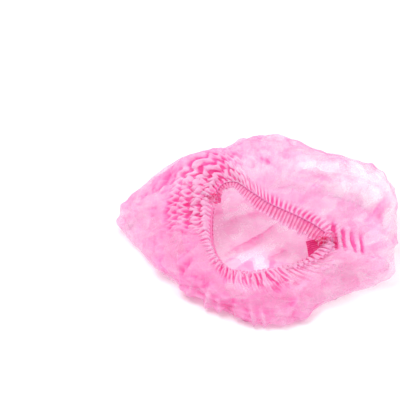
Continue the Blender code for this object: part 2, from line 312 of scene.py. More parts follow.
def settle(points, goal, hold, around, down, steps, closed=True, floor=None, keep=None):
    """Lets a sheet find its folds: around and down are the cloth's own lengths between its
    columns and rows, goal is where it is drawn to, hold how much, keep what is sewn fast."""
    points = points.copy()
    last = points.copy()
    diagonal = np.sqrt(around ** 2 + down ** 2)
    for step in range(steps):
        moves = np.zeros_like(points)
        pull_pairs(points, moves, (0, 1), around, 0.9, 0, closed)
        pull_pairs(points, moves, (1, 0), down, 0.9, 0, closed)
        pull_pairs(points, moves, (1, 1), diagonal, 0.35, 0, closed)
        pull_pairs(points, moves, (1, -1), diagonal, 0.35, 0, closed)
        pull_pairs(points, moves, (0, 2), around * 1.75, 0.35, -1, closed)
        pull_pairs(points, moves, (0, 4), around * 2.4, 0.25, -1, closed)
        pull_pairs(points, moves, (2, 0), down * 1.97, 0.30, -1, closed)
        pull_pairs(points, moves, (4, 0), down * 3.8, 0.20, -1, closed)
        speed = (points - last) * (0.86 if step < steps * 0.8 else 0.5)
        last = points.copy()
        points = points + speed + moves * 0.42 + (goal - points) * hold
        if keep is not None:
            points[keep] = goal[keep]
        if floor is not None:
            points[..., 2] = np.maximum(points[..., 2], floor)
    return points


def sheet_mesh(name, rows, closed, cap=None):
    """A band of quads through the rows. A cap is the point that closes the last row."""
    count = rows.shape[1]
    total = rows.shape[0]
    index = np.arange(total * count).reshape(total, count)
    after = np.roll(index, -1, axis=1) if closed else index[:, 1:]
    near = index if closed else index[:, :-1]
    quads = np.stack([near[:-1], near[1:], after[1:], after[:-1]], axis=-1).reshape(-1, 4)
    faces = [tuple(int(v) for v in quad) for quad in quads]
    points = [tuple(float(v) for v in point) for point in rows.reshape(-1, 3)]
    if cap is not None:
        points.append(cap)
        middle = len(points) - 1
        ring = index[-1]
        faces += [(int(ring[k]), middle, int(ring[(k + 1) % count])) for k in range(count)]
    data = bpy.data.meshes.new(name)
    data.from_pydata(points, [], faces)
    data.shade_smooth()
    piece = bpy.data.objects.new(name, data)
    bpy.context.scene.collection.objects.link(piece)
    return piece


def map_cloth(piece, across, along):
    """Writes the flat cloth's own coordinates, in metres, as the piece's UV map."""
    layer = piece.data.uv_layers.new(name="cloth")
    flat = np.stack([along, across], axis=-1).reshape(-1, 2)
    if len(piece.data.vertices) > len(flat):
        flat = np.concatenate([flat, flat[-1:]])
    corner = np.empty(len(piece.data.loops), dtype=np.int32)
    piece.data.loops.foreach_get("vertex_index", corner)
    layer.data.foreach_set("uv", flat[corner].reshape(-1).astype(np.float32))


def smooth_step(share):
    """From 0 to 1 without a kink at either end."""
    share = np.clip(share, 0, 1)
    return share * share * (3 - 2 * share)


def blurred(rows, passes, closed=True):
    """The rows with their small relief smoothed away."""
    rows = rows.copy()
    for _ in range(passes):
        if closed:
            rows = rows * 0.5 + (np.roll(rows, 1, axis=1) + np.roll(rows, -1, axis=1)) * 0.25
        else:
            rows[:, 1:-1] = rows[:, 1:-1] * 0.5 + (rows[:, :-2] + rows[:, 2:]) * 0.25
        rows[1:-1] = rows[1:-1] * 0.5 + (rows[:-2] + rows[2:]) * 0.25
    return rows


def bag_surface():
    """The smooth bag with its main folds, as evenly spaced rows from the seam to the foot."""
    turn = even_turns(COLUMNS)
    guides = guides_at(turn)
    values = np.linspace(0, 3, ROW_STEPS + 1)
    fine = np.array([smooth_row(guides, value) for value in values])
    path = np.concatenate([[0.0], np.cumsum(lengths(np.diff(fine, axis=0)).mean(axis=(1, 2)))])
    wanted = np.interp(np.linspace(0, path[-1], BAG_ROWS), path, values)
    smooth = np.array([smooth_row(guides, value) for value in wanted])
    outward = outward_of(smooth)
    shift = np.array([fold_shift(turn, value) for value in wanted])
    steps = lengths(np.diff(smooth, axis=0))[..., 0]
    reach = np.concatenate([np.zeros((1, COLUMNS)), np.cumsum(steps, axis=0)])
    puff = region("puff", turn)[None] * 0.001
    over = puff * (reach / PUFF_REACH) * np.exp(1 - reach / PUFF_REACH)
    ragged = random_walk(COLUMNS, 64, 0.0020) + random_walk(COLUMNS, 30, 0.0018)
    near_wide = np.exp(-((wanted - 2.15) / 0.35) ** 2)[:, None]
    out = over - shift + ragged[None] * near_wide
    return turn, reach, smooth + outward * out[..., None], outward


def gather_seeds(turn, reach):
    """Where the cloth first lies above or below the bag: gathers that join as they run out."""
    angle = 2 * math.pi * np.arange(COLUMNS) / COLUMNS
    run = region("run", turn)[None] * 0.001
    depth = region("gather", turn)[None] * 0.001
    sway = region("sway", turn)[None]
    far = reach / run
    seed = np.zeros_like(reach)
    for count, start, end, height in ((GATHERS, 0.0, 1.2, depth * 0.85),
                                      (GATHERS // 2, 0.2, 1.7, depth * 0.95)):
        phase = count * angle + random_walk(COLUMNS, count // 2, 1.1)
        drift = np.cumsum(cloth_noise(BAG_ROWS, COLUMNS, 8, count // 2, 0.09), axis=0)
        bend = 2 * math.pi * reach / SWAY_LENGTH + random_walk(COLUMNS, 9, 1.5)[None]
        place = np.clip((far - start) / (end - start), 0, 1)
        rise = np.sin(math.pi * place ** 0.45) if start == 0 else np.sin(math.pi * place ** 0.7)
        patchy = 1 + 0.45 * random_walk(COLUMNS, count // 4, 1.0)[None]
        seed += height * patchy * rise * np.sin(phase[None] + drift + sway * np.sin(bend))
    return seed


def fold_overs(turn, reach):
    """Places where the cloth lies doubled in a narrow band with one sharp edge. Returns how
    far it stands up there, from 0 to 1, and how much the doubling closes the cloth."""
    height, doubled = np.zeros_like(reach), np.zeros_like(reach)
    for _ in range(FOLD_OVERS):
        spot = rng.uniform(0, 1)
        start = rng.uniform(0.02, 0.95)
        to_right = math.exp(-(((spot + 0.5) % 1.0 - 0.5) / 0.07) ** 2)
        lean = rng.normal(0.0, 0.45) + to_right * 1.3
        long, wide = rng.uniform(0.014, 0.055), rng.uniform(0.0025, 0.0120)
        bend = rng.normal(0.0, 6.0)
        strength = rng.uniform(0.35, 1.0)
        side = rng.choice((-1.0, 1.0))
        round_way = ((turn[None] - spot + 0.5) % 1.0 - 0.5) * 0.85
        down_way = reach - (0.012 + start * (reach[-1:] - 0.012))
        along = round_way * math.cos(lean) + down_way * math.sin(lean)
        off = side * (down_way * math.cos(lean) - round_way * math.sin(lean)) + bend * along ** 2
        fade = smooth_step((long - np.abs(along)) / (long * 0.5))
        band = np.where((off > 0) & (off < wide), off / wide, 0.0)
        height += strength * fade * band
        doubled += strength * fade * ((off > -0.001) & (off < wide))
    return height, doubled


def cut_lengths(turn, reach, form):
    """The cloth's own lengths between its columns and rows: full where it is gathered, and
    as the bag's form where its spare length has run out."""
    step_round = lengths(np.roll(form, -1, axis=1) - form)
    step_down = lengths(np.diff(form, axis=0, append=form[-1:]))
    run = region("run", turn)[None, :] * 0.001
    loose = region("loose", turn)[None, :, None]
    slack = region("slack", turn)[None, :, None]
    eased = smooth_step(reach / 0.008)[..., None]
    gone = smooth_step((reach - run * 0.5) / (run * 1.2))[..., None]
    easy = step_round * (1 + loose)
    full = np.maximum(CUT_STEP, easy) * (1 - gone) + easy * gone
    around = step_round * 1.3 * (1 - eased) + full * eased
    slackened = smooth_step((reach - 0.012) / 0.02)[..., None]
    down = np.maximum(step_down, 0.0006) * (1 + slack * slackened)
    return around, down


def first_lie(turn, reach, form, outward):
    """The cloth's first rough lie on the bag's form, with its sewn edge and its foot in place."""
    seed = gather_seeds(turn, reach)
    angle = 2 * math.pi * np.arange(COLUMNS) / COLUMNS
    seed[0] = 0.0012 * np.sin(GATHERS * angle + random_walk(COLUMNS, GATHERS // 2, 0.5))
    start = form + outward * seed[..., None]
    ragged = random_walk(COLUMNS, 90, 0.0013) + random_walk(COLUMNS, 36, 0.0016)
    start[-1] = form[-1] + form[-1] / lengths(form[-1]) * ragged[:, None]
    start[-1, :, 2] = TABLE_CLEARANCE
    return start


def settled_bag(turn, reach, form, outward):
    """The cloth let down on the bag's form, so that its spare length gathers. Beyond the
    gathers most of the small relief is smoothed away."""
    around, down = cut_lengths(turn, reach, form)
    start = first_lie(turn, reach, form, outward)
    goal = form.copy()
    goal[0] = start[0]
    goal[-1] = start[-1]
    goal[..., 2] = np.maximum(goal[..., 2], TABLE_CLEARANCE)
    hold = 0.0010 + 0.010 * smooth_step(np.linspace(-0.6, 1.0, BAG_ROWS))[:, None, None]
    hold[-4:] = 0.02
    keep = np.zeros((BAG_ROWS, COLUMNS), dtype=bool)
    keep[0] = True
    keep[-1] = True
    bag = settle(start, goal, hold, around, down, SETTLE_STEPS, floor=TABLE_CLEARANCE, keep=keep)
    smooth = blurred(bag, 40)
    run = region("run", turn)[None, :] * 0.001
    near_seam = 1 - smooth_step((reach - run * 0.8) / (run * 0.8))[..., None]
    bag = smooth + (bag - smooth) * (FAR_RELIEF_KEPT + (1 - FAR_RELIEF_KEPT) * near_seam)
    bag[0], bag[-1] = start[0], start[-1]
    return bag


def build_crown():
    """The whole bag and the part of it that lies on the table, as one sheet of cloth."""
    turn, reach, form, outward = bag_surface()
    bag = settled_bag(turn, reach, form, outward)
    overs, doubled = fold_overs(turn, reach)
    bag, tiers, deep_shade = crease_bag(bag, turn, reach, overs)
    rows = np.concatenate([bag, bottom_rows(bag[-1])])
    rows[..., 2] = np.maximum(rows[..., 2], LOWEST_POINT)
    crown = sheet_mesh("crown_cloth", rows, True, cap=middle_of_bottom())
    spread = reach.mean(axis=1)
    bottom_spread = spread[-1] + np.arange(1, BOTTOM_ROWS + 1) * BOTTOM_ROW_WIDTH
    across = np.concatenate([spread, bottom_spread])
    along = np.arange(COLUMNS) * CUT_STEP
    map_cloth(crown, np.repeat(across[:, None], COLUMNS, 1), np.repeat(along[None], len(across), 0))
    # How strongly the relief shows as painted highlight on ridges and painted shade in valleys:
    # most in the gathers, tiers and pleats, with the pleats' valleys painted hot pink still more
    run = region("run", turn)[None, :] * 0.001
    gathered = np.clip(1.35 * np.exp(-(reach / run) ** 2) + 0.9 * tiers, 0.35, 1.35)
    gathered = np.concatenate([gathered, np.full((BOTTOM_ROWS, COLUMNS), 0.35)])
    fold = fold_highlight_and_shade(rows, gathered)
    fold[:BAG_ROWS] *= 1 - np.clip(deep_shade * 1.4, 0, 1)
    mark_cloth(crown, "fold", fold)
    mark_cloth(crown, "layers", layer_share(turn, reach, doubled, deep_shade))
    return crown


def fold_highlight_and_shade(rows, gathered):
    """Painted highlight and shade of the folds, from fine and broad relief: from 0 in their
    valleys, painted as shade, to 1 on their ridges, painted as a highlight.
    """
    fine, broad = blurred(rows, 14), blurred(rows, 110)
    near = np.sum((rows - fine) * outward_of(fine), axis=-1) / 0.0010
    wide = np.sum((rows - broad) * outward_of(broad), axis=-1) / 0.0035
    return 0.5 + 0.5 * np.tanh(gathered * (0.85 * near + 0.8 * wide))


def layer_share(turn, reach, doubled, deep_shade):
    """From 0, where one smooth layer shows, to 1, where many folds lie on each other."""
    run = region("run", turn)[None] * 0.001
    thinning = np.clip(region("tiers", turn)[None], 0, 1) * smooth_step((reach - 0.055) / 0.03)
    many = region("layers", turn)[None] * (1 - 0.6 * thinning)
    gathered = np.exp(-(reach / (run * 0.9)) ** 2)
    # The pleats' valleys are added here as painted shade, and the doubled bands as real layers
    share = many + (1 - many) * 0.6 * gathered + 0.30 * (doubled - 0.25) + 1.2 * deep_shade
    share = share + 0.08 * cloth_noise(BAG_ROWS, COLUMNS, 6, 22)
    bottom = np.full((BOTTOM_ROWS, COLUMNS), 0.34)
    return np.clip(np.concatenate([share, bottom]), 0, 1)


def mark_cloth(piece, name, values):
    """Writes one number for each point of the cloth as an attribute of the piece."""
    layer = piece.data.attributes.new(name, "FLOAT", "POINT")
    flat = values.reshape(-1)
    if len(piece.data.vertices) > len(flat):
        flat = np.concatenate([flat, flat[-1:]])
    layer.data.foreach_set("value", flat.astype(np.float32))


def end_pleats(bag):
    """The upright pleats beside the right tack, and the two edges of cloth that lap them: how
    strongly their gathers show in the painted highlight and shade, where their valleys lie,
    painted as shade, and their height."""
    x, y = bag[..., 0], bag[..., 1]
    along = smooth_step((x - 0.087) / 0.006) * smooth_step((0.140 - x) / 0.016)
    across = np.exp(-((y - END_PLEAT_MIDDLE) / END_PLEAT_HALF) ** 4)
    upright = bag[..., 2] > 0.025
    pleats = along * across * upright
    place = (x + END_PLEAT_FROM + END_PLEAT_LEAN * y) / END_PLEAT_PITCH
    wave = 1.0 - 1.9 * np.abs(np.sin(math.pi * place))
    beside = smooth_step((x - 0.085) / 0.02) * smooth_step((0.172 - x) / 0.02) * upright
    upper = y - (END_PLEAT_MIDDLE + END_PLEAT_HALF * 0.8)
    lower = (END_PLEAT_MIDDLE - END_PLEAT_HALF * 0.9) - y
    lap = (smooth_step(upper / 0.0025) * smooth_step((0.030 - upper) / 0.025)
           + smooth_step(lower / 0.0025) * smooth_step((0.026 - lower) / 0.022))
    deep_shade = pleats * np.clip(0.1 - wave, 0, 1)
    height = pleats * wave * END_PLEAT_HEIGHT + lap * beside * LAP_HEIGHT
    return 1.9 * pleats, deep_shade, height


def front_teeth(turn, reach):
    """The folds that run up from the pointed teeth of the front outline."""
    place = (turn - FRONT_TEETH_FROM) / FRONT_TOOTH_PITCH
    tooth = 0.9 - 2 * np.abs(np.sin(math.pi * (place + 0.18 * np.sin(place * 2.3))))
    there = (smooth_step((turn - FRONT_TEETH_FROM) / 0.02)
             * smooth_step((FRONT_TEETH_TO - turn) / 0.02))
    low = reach / reach[-1:]
    fade = smooth_step((low - 0.48) / 0.22) * smooth_step((0.98 - low) / 0.10)
    return FRONT_TOOTH_HEIGHT * (tooth * there)[None] * fade


def crease_bag(bag, turn, reach, overs):
    """Presses in the creases that the strip's folding left, side by side with the seam, the
    tiers of the left bunch, doubled bands, and the crumples of cloth that was packed tight."""
    rows, columns = reach.shape
    outward = outward_of(blurred(bag, 3))
    wander = cloth_noise(rows, columns, 4, 14) * 0.12
    tooth = np.abs(((reach / CREASE_PITCH + wander) % 1.0) - 0.5) * 2 - 0.5
    inside = smooth_step((reach - 0.014) / 0.02) * smooth_step((reach[-1:] - reach) / 0.02)
    patchy = np.clip(0.55 + 0.6 * cloth_noise(rows, columns, 9, 22), 0, 1.2)
    facets = [np.abs(cloth_noise(rows, columns, 5, 34)) for _ in range(2)]
    coarse = [np.abs(cloth_noise(rows, columns, 12, 80)) for _ in range(2)]
    broad = region("far", turn)[None] * 0.001
    swell = cloth_noise(rows, columns, 4, 40) * 0.6 + cloth_noise(rows, columns, 4, 18) * 0.8
    crumple = broad * 1.6 * np.tanh((swell + facets[0] - facets[1]) / 1.6)
    crumple += (coarse[0] - coarse[1]) * COARSE_HEIGHT
    pleats, deep_shade, pleat = end_pleats(bag)
    angle = 2 * math.pi * np.arange(columns) / columns
    frill = TIER_WAVE_DEPTH * np.sin(TIER_WAVES * angle + random_walk(columns, 30, 1.2))[None]
    frill = frill * (1 + 0.35 * cloth_noise(rows, columns, 5, 30))
    stair = ((reach + frill) / TIER_PITCH + random_walk(columns, 9, 0.25)[None]) % 1.0
    tiers = region("tiers", turn)[None] * smooth_step((0.068 - reach) / 0.02)
    tiers = tiers * smooth_step((reach - 0.003) / 0.004)
    rising, falling = (stair / TIER_RISE) ** 1.5, (1 - stair) / (1 - TIER_RISE)
    stair = np.where(stair < TIER_RISE, rising, falling) - 0.4
    shift = tooth * inside * patchy * CREASE_HEIGHT + crumple * inside
    shift += overs * inside * FOLD_OVER_HEIGHT + tiers * stair * TIER_HEIGHT
    shift = blurred(shift[..., None], 1)[..., 0] + pleat
    shift += front_teeth(turn, reach)
    # Also gives how strongly the tiers and pleats show in the painted highlight and shade, and the
    # pleats' valleys, painted as shade
    return bag + outward * shift[..., None], tiers + pleats, deep_shade


BOTTOM_MIDDLE = (0.0, -0.006)

# Soft creases of the crown's inside: ends x, y, x, y, then height and half width in metres
INSIDE_CREASES = (
    (0.030, 0.055, -0.040, -0.010, 0.0075, 0.0036),
    (0.034, 0.012, 0.020, -0.015, 0.0045, 0.0026),
    (-0.040, 0.050, 0.010, 0.080, 0.0040, 0.0060),
    (-0.010, -0.045, 0.060, -0.030, 0.0030, 0.0060),
    (0.055, 0.060, 0.080, 0.010, 0.0035, 0.0050),
    (-0.060, 0.020, -0.045, -0.045, 0.0040, 0.0060),
)


def crease_height(x, y):
    """How high the creases of the crown's inside stand."""
    height = np.zeros_like(x)
    for ax, ay, bx, by, top, half in INSIDE_CREASES:
        way = np.array((bx - ax, by - ay))
        size = math.hypot(*way)
        way = way / size
        along = ((x - ax) * way[0] + (y - ay) * way[1]) / size
        bend = 0.004 * np.sin(along * 5.0 + ax * 90)
        off = -(x - ax) * way[1] + (y - ay) * way[0] + bend
        fade = np.clip(np.minimum(along, 1 - along) * 4 + 0.2, 0, 1)
        height += top * fade * np.exp(-np.abs(off / half) ** 1.5)
    return height


def bottom_height(x, y):
    """How the cloth that lies on the table rises in low folds between its resting places."""
    swell = (0.0016 * np.sin(62 * x + 21 * y + 1.0) * np.sin(54 * y - 17 * x + 0.4)
             + 0.0009 * np.sin(140 * x - 60 * y) * np.sin(120 * y + 47 * x + 2.0))
    return np.maximum(swell, -0.001) + 0.0012 + crease_height(x, y)


def bottom_rows(foot):
    """The rows of the part that lies on the table, from the foot to its middle."""
    share = (np.arange(1, BOTTOM_ROWS + 1) / (BOTTOM_ROWS + 1))[:, None, None]
    middle = np.array((*BOTTOM_MIDDLE, 0.0))
    rows = foot[None] * (1 - share) + middle * share
    ease = np.clip(share[..., 0] * 6, 0, 1)
    facets = [np.abs(cloth_noise(BOTTOM_ROWS, COLUMNS, 3, 14)) for _ in range(2)]
    low = np.clip((facets[0] - facets[1]) * 0.0022, -0.001, 0.004) * (1 - share[..., 0])
    rows[..., 2] = TABLE_CLEARANCE + ease * (bottom_height(rows[..., 0], rows[..., 1]) + low)
    return rows


def middle_of_bottom():
    """The point in which the cloth on the table closes."""
    x, y = (np.array([value]) for value in BOTTOM_MIDDLE)
    return (*BOTTOM_MIDDLE, float(bottom_height(x, y)[0] + TABLE_CLEARANCE))


def seam_frames(turn):
    """The cloth's sewn edge with its inward and outward directions at each turn."""
    guides = guides_at(turn)
    rows = np.array([smooth_row(guides, row) for row in (0.0, 0.10)])
    nearby = guides_at(turn + 0.0007)[:, 0] - guides_at(turn - 0.0007)[:, 0]
    seam_way = nearby / lengths(nearby)
    inward = rows[0] - rows[1]
    inward -= seam_way * np.sum(inward * seam_way, axis=1, keepdims=True)
    inward /= lengths(inward)
    outward = np.cross(seam_way, inward)
    return rows[0] - outward * WALL / 2, inward, outward


def build_ruffle(name, start, end, gathers):
    """The frilled margin beyond an elastic, let loose from its sewn edge: it hangs into the
    mouth, straight down where the rim rolls over, and near the right tack the front one is
    turned out over the bag."""
    count = gathers * GATHER_POINTS
    turn = even_turns(count, start, end, closed=False)
    edge, inward, _ = seam_frames(turn)
    level = inward * (1.0, 1.0, 0.0)
    level /= lengths(level)
    up = np.array((0.0, 0.0, 1.0))
    share = np.linspace(0, 1, RUFFLE_ROWS)[:, None, None]
    ragged = 1 + 0.10 * random_walk(count, gathers, 1.0, closed=False)
    width = (RUFFLE_WIDTH * region("margin", turn) * ragged)[None, :, None]
    turned_out = (smooth_step((turn - 0.79) / 0.05) * smooth_step((0.99 - turn) / 0.02))[:, None]
    tucked = (smooth_step((turn - 0.50) / 0.04) * smooth_step((0.73 - turn) / 0.05))[:, None]
    hanging = level * (0.80 - 0.70 * tucked) - up * (0.55 + 0.40 * tucked)
    hanging = hanging * share * width
    folded = up * (0.95 * share - 0.50 * share ** 2) * width - level * 1.05 * share ** 2 * width
    form = edge[None] + inward[None] * 0.0016 + hanging * (1 - turned_out) + folded * turned_out
    aside = outward_of(form, closed=False)
    step_round = lengths(np.diff(form, axis=1, append=form[:, -1:]))
    sewn = float(step_round[0, :-1].mean())
    cut_step = CUT_LENGTH / count
    grow = np.clip(share * 3.0, 0, 1)
    around = np.full((RUFFLE_ROWS, count, 1), sewn * 1.3) * (1 - grow) + cut_step * grow
    down = lengths(np.diff(form, axis=0, append=form[-1:]))
    down[-1] = down[-2]
    place = np.arange(count) / count
    phase = 2 * math.pi * gathers * place + random_walk(count, gathers // 2, 1.3, closed=False)
    depth = 0.0009 + 0.0036 * np.clip(share[..., 0] * 1.6, 0, 1)
    seed = depth * np.sin(phase)[None]
    first = form + aside * seed[..., None]
    keep = np.zeros((RUFFLE_ROWS, count), dtype=bool)
    keep[0] = True
    form[0] = first[0]
    settled = settle(first, form, np.full((RUFFLE_ROWS, 1, 1), 0.003), around, down,
                     SETTLE_STEPS // 2, closed=False, floor=TABLE_CLEARANCE, keep=keep)
    ruffle = sheet_mesh(name, settled, False)
    across = np.linspace(0, RUFFLE_WIDTH, RUFFLE_ROWS)
    along = np.arange(count) * cut_step
    map_cloth(ruffle, np.repeat(across[:, None], count, 1), np.repeat(along[None], RUFFLE_ROWS, 0))
    # The frill is painted pale as a highlight where its relief stands out and along its free edge,
    # and hot pink as shade elsewhere; it has fewer layers at the free edge
    smooth = blurred(settled, 20, closed=False)
    relief = np.sum((settled - smooth) * outward_of(smooth, closed=False), axis=-1) / 0.0012
    ridge = 0.5 + 0.5 * np.tanh(np.abs(relief) * 1.4 - 0.7)
    free_edge = smooth_step(np.linspace(-3.2, 1.0, RUFFLE_ROWS))[:, None]
    mark_cloth(ruffle, "fold", np.clip(ridge * 0.85 + free_edge, 0, 1))
    mark_cloth(ruffle, "layers", np.repeat(0.85 - 0.65 * free_edge, count, 1))
    return ruffle


ELASTIC_POINTS = 420
ELASTIC_GAP = 0.0003
STITCH_ANGLE = 1.9
STITCH_SWAY = 0.00022


def build_elastic(name, start, end):
    """The covered elastic with the cloth drawn up over it in fine stitches."""
    count = ELASTIC_POINTS
    turn = even_turns(count, start, end, closed=False)
    edge, inward, outward = seam_frames(turn)
    middle = edge + inward * (ELASTIC_GAP + ELASTIC_DIAMETER / 2)
    place = np.arange(count)
    middle = middle + outward * (STITCH_SWAY * np.sin(place * STITCH_ANGLE))[:, None]
    curve = bpy.data.curves.new(name, "CURVE")
    curve.dimensions = "3D"
    curve.bevel_depth = ELASTIC_DIAMETER / 2
    curve.bevel_resolution = 2
    curve.use_fill_caps = True
    line = curve.splines.new("POLY")
    line.points.add(count - 1)
    for number, (point, spot) in enumerate(zip(line.points, middle)):
        point.co = (*spot, 1.0)
        stitch = 0.28 * math.sin(number * STITCH_ANGLE + 0.8)
        point.radius = 0.80 + stitch + 0.05 * math.sin(number * 0.61)
    elastic = bpy.data.objects.new(name, curve)
    bpy.context.scene.collection.objects.link(elastic)
    bpy.context.view_layer.objects.active = elastic
    elastic.select_set(True)
    bpy.ops.object.convert(target="MESH")
    bpy.ops.object.shade_smooth()
    elastic.select_set(False)
    return elastic


# The frilly ends of the strip: where they lie, half their width and height, how many loops
# they have, how wide the loops curl and how far they stand up
KNOT_COLUMNS = ("spot", "wide", "high", "loops", "curl", "stand")
KNOTS = {
    "right": ((0.0845, -0.0390, 0.0590), 0.0078, 0.0082, 11, 0.0030, 0.0085),
    "left": ((-0.0560, 0.0290, 0.0670), 0.0055, 0.0065, 13, 0.0023, 0.0095),
}
KNOT_FLAT = (0.010, 0.19)
LOOP_POINTS = 26
KNOT_ROWS = 8

# The pressed stack of folds inside each end: upper and lower edge, each left to right
FLAPS = {
    "right": (((0.0600, -0.0310, 0.0500), (0.0875, -0.0285, 0.0555)),
              ((0.0640, -0.0470, 0.0325), (0.0840, -0.0430, 0.0430))),
    "left": (((-0.0530, 0.0440, 0.0670), (-0.0440, 0.0470, 0.0670)),
             ((-0.0520, 0.0360, 0.0520), (-0.0450, 0.0380, 0.0520))),
}
FLAP_PLEATS = {"right": 9, "left": 5}
FLAP_COLUMNS = 25
FLAP_PLEAT_ROWS = 12
FLAP_PLEAT_HEIGHT = 0.0014
FLAP_MAP = (0.02, 0.04)


def build_knot(name, side):
    """The frilly end of the strip: the pleats' free edges, curled up tight over the weld."""
    knot = dict(zip(KNOT_COLUMNS, KNOTS[side]))
    count = knot["loops"] * LOOP_POINTS
    rows = KNOT_ROWS
    place = np.arange(count) / (count - 1)
    swing = random_walk(count, knot["loops"], 0.5, closed=False)
    swing = 2 * math.pi * knot["loops"] * place + swing
    curl = knot["curl"] * (1 + 0.22 * random_walk(count, knot["loops"], 1.0, closed=False))
    across = knot["wide"] * np.sin(2 * math.pi * 2.5 * place + 0.4)
    along = knot["high"] * (2 * place - 1)
    level, slope = np.array((1.0, 0.0, 0.0)), np.array((0.0, 0.80, 0.60))
    stand = np.array((0.0, -0.60, 0.80))
    share = np.linspace(0, 1, rows)[:, None]
    flare = 0.70 + 0.45 * share
    first = across[None] + curl[None] * np.cos(swing)[None] * flare
    second = along[None] + curl[None] * np.sin(swing)[None] * flare
    rise = (share - 0.45) * knot["stand"] * (1 + 0.15 * np.sin(swing * 0.5)[None])
    points = (np.array(knot["spot"]) + first[..., None] * level + second[..., None] * slope
              + rise[..., None] * stand)
    piece = sheet_mesh(name, points, False)
    map_cloth(piece, np.repeat(share * KNOT_FLAT[0], count, 1),
              np.repeat(place[None] * KNOT_FLAT[1], rows, 0))
    # The loops' free edges are painted pale as a highlight and the rest of each loop hot pink as
    # shade; fewer layers at the edges
    free_edge = smooth_step((np.repeat(share, count, 1) - 0.55) / 0.35)
    mark_cloth(piece, "fold", 0.25 + 0.75 * free_edge)
    mark_cloth(piece, "layers", 0.70 - 0.40 * free_edge)
    return piece


def build_flap(name, side):
    """The stack of folds that the weld holds, seen from inside the mouth."""
    pleats = FLAP_PLEATS[side]
    count, rows = FLAP_COLUMNS, pleats * FLAP_PLEAT_ROWS + 1
    (upper_left, upper_right), (lower_left, lower_right) = np.array(FLAPS[side])
    share = np.linspace(0, 1, count)[None, :, None]
    fall = np.linspace(0, 1, rows)[:, None, None]
    upper = upper_left * (1 - share) + upper_right * share
    lower = lower_left * (1 - share) + lower_right * share
    form = upper * (1 - fall) + lower * fall
    facing = outward_of(form, closed=False)
    sway = random_walk(count, pleats, 0.3, closed=False)[None]
    place = fall[..., 0] * pleats + 0.25 * sway + 0.6 * share[..., 0]
    tooth = np.abs(place % 1.0 - 0.5) * 2 - 0.5
    tooth = tooth * (1 - 0.7 * smooth_step((fall[..., 0] - 0.5) / 0.1))
    points = form + facing * (tooth * FLAP_PLEAT_HEIGHT)[..., None]
    piece = sheet_mesh(name, points, False)
    map_cloth(piece, np.repeat(fall[..., 0] * FLAP_MAP[0], count, 1),
              np.repeat(share[..., 0] * FLAP_MAP[1], rows, 0))
    # The pleats' ridges are painted paler as a highlight and the rest hot pink as shade
    mark_cloth(piece, "fold", np.clip(0.25 + 0.45 * tooth, 0, 1))
    mark_cloth(piece, "layers", np.ones((rows, count)))
    return piece


class Value:
    """One output of a shader node. Arithmetic on it adds Math nodes."""

    def __init__(self, bench, socket):
        self.bench = bench
        self.socket = socket

    def worked(self, operation, first, second):
        return self.bench.node("ShaderNodeMath", {"operation": operation}, {0: first, 1: second})

    def __add__(self, other):
        return self.worked("ADD", self, other)

    def __radd__(self, other):
        return self.worked("ADD", other, self)

    def __sub__(self, other):
        return self.worked("SUBTRACT", self, other)

    def __rsub__(self, other):
        return self.worked("SUBTRACT", other, self)

    def __mul__(self, other):
        return self.worked("MULTIPLY", self, other)

    def __rmul__(self, other):
        return self.worked("MULTIPLY", other, self)


class Bench:
    """A material being put together."""

    def __init__(self, name):
        self.material = bpy.data.materials.new(name)
        self.material.use_nodes = True
        self.tree = self.material.node_tree
        self.tree.nodes.clear()

    def node(self, kind, settings, inputs, output=0):
        """Adds a node with its settings, values and links, and returns one of its outputs."""
        made = self.tree.nodes.new(kind)
        for name, setting in settings.items():
            if name == "stops":
                self.set_stops(made.color_ramp, setting)
            else:
                setattr(made, name, setting)
        for name, given in inputs.items():
            if isinstance(given, Value):
                self.tree.links.new(given.socket, made.inputs[name])
            else:
                made.inputs[name].default_value = given
        return Value(self, made.outputs[output])

    def set_stops(self, ramp, stops):
        while len(ramp.elements) < len(stops):
            ramp.elements.new(0.5)
        for element, (place, colour) in zip(ramp.elements, stops):
            element.position = place
            element.color = (*colour, 1.0)

    def noise(self, vector, scale, detail, roughness):
        return self.node("ShaderNodeTexNoise", {}, {
            "Vector": vector, "Scale": scale, "Detail": detail, "Roughness": roughness})

    def bent(self, vector, scale, far):
        """The place moved a little by noise, so that a pattern on it isn't quite straight."""
        noise = self.node("ShaderNodeTexNoise", {}, {"Vector": vector, "Scale": scale}, output=1)
        level = self.node("ShaderNodeVectorMath", {"operation": "SUBTRACT"}, {
            0: noise, 1: (0.5, 0.5, 0.5)})
        moved = self.node("ShaderNodeVectorMath", {"operation": "MULTIPLY"}, {
            0: level, 1: (far, far, far)})
        return self.node("ShaderNodeVectorMath", {"operation": "ADD"}, {0: vector, 1: moved})

    def blend(self, share, first, second):
        """A colour between two colours."""
        return self.node("ShaderNodeMix", {"data_type": "RGBA"},
                         {0: share, 6: first, 7: second}, output=2)

    def finish(self, shader):
        output = self.tree.nodes.new("ShaderNodeOutputMaterial")
        self.tree.links.new(shader.socket, output.inputs["Surface"])
        return self.material


# Each cloth's colour on its ridges, painted pale there as a highlight, between them, and in its
# valleys, painted hot pink there as shade (the same colours serve its patches and layers), and
# how closed it is where a single smooth layer lies
CLOTHS = {
    "bag_cloth": ((0.98, 0.70, 0.90), (0.97, 0.41, 0.74), (0.96, 0.13, 0.46), 0.16),
    "frill_cloth": ((0.98, 0.64, 0.87), (0.97, 0.31, 0.63), (0.95, 0.10, 0.40), 0.26),
    # The weld cloth is a deeper copy for the pressed folds inside the ends: partly their many
    # layers, partly painted shade of the pleats
    "shaded_weld_cloth": ((0.97, 0.42, 0.68), (0.90, 0.13, 0.38), (0.76, 0.04, 0.23), 0.50),
}

# Noise scale that bends a pattern of patches, and the pattern's own scale
PATCH_SCALES = ((22.0, 38.0), (45.0, 72.0))
PATCH_BEND = 0.005


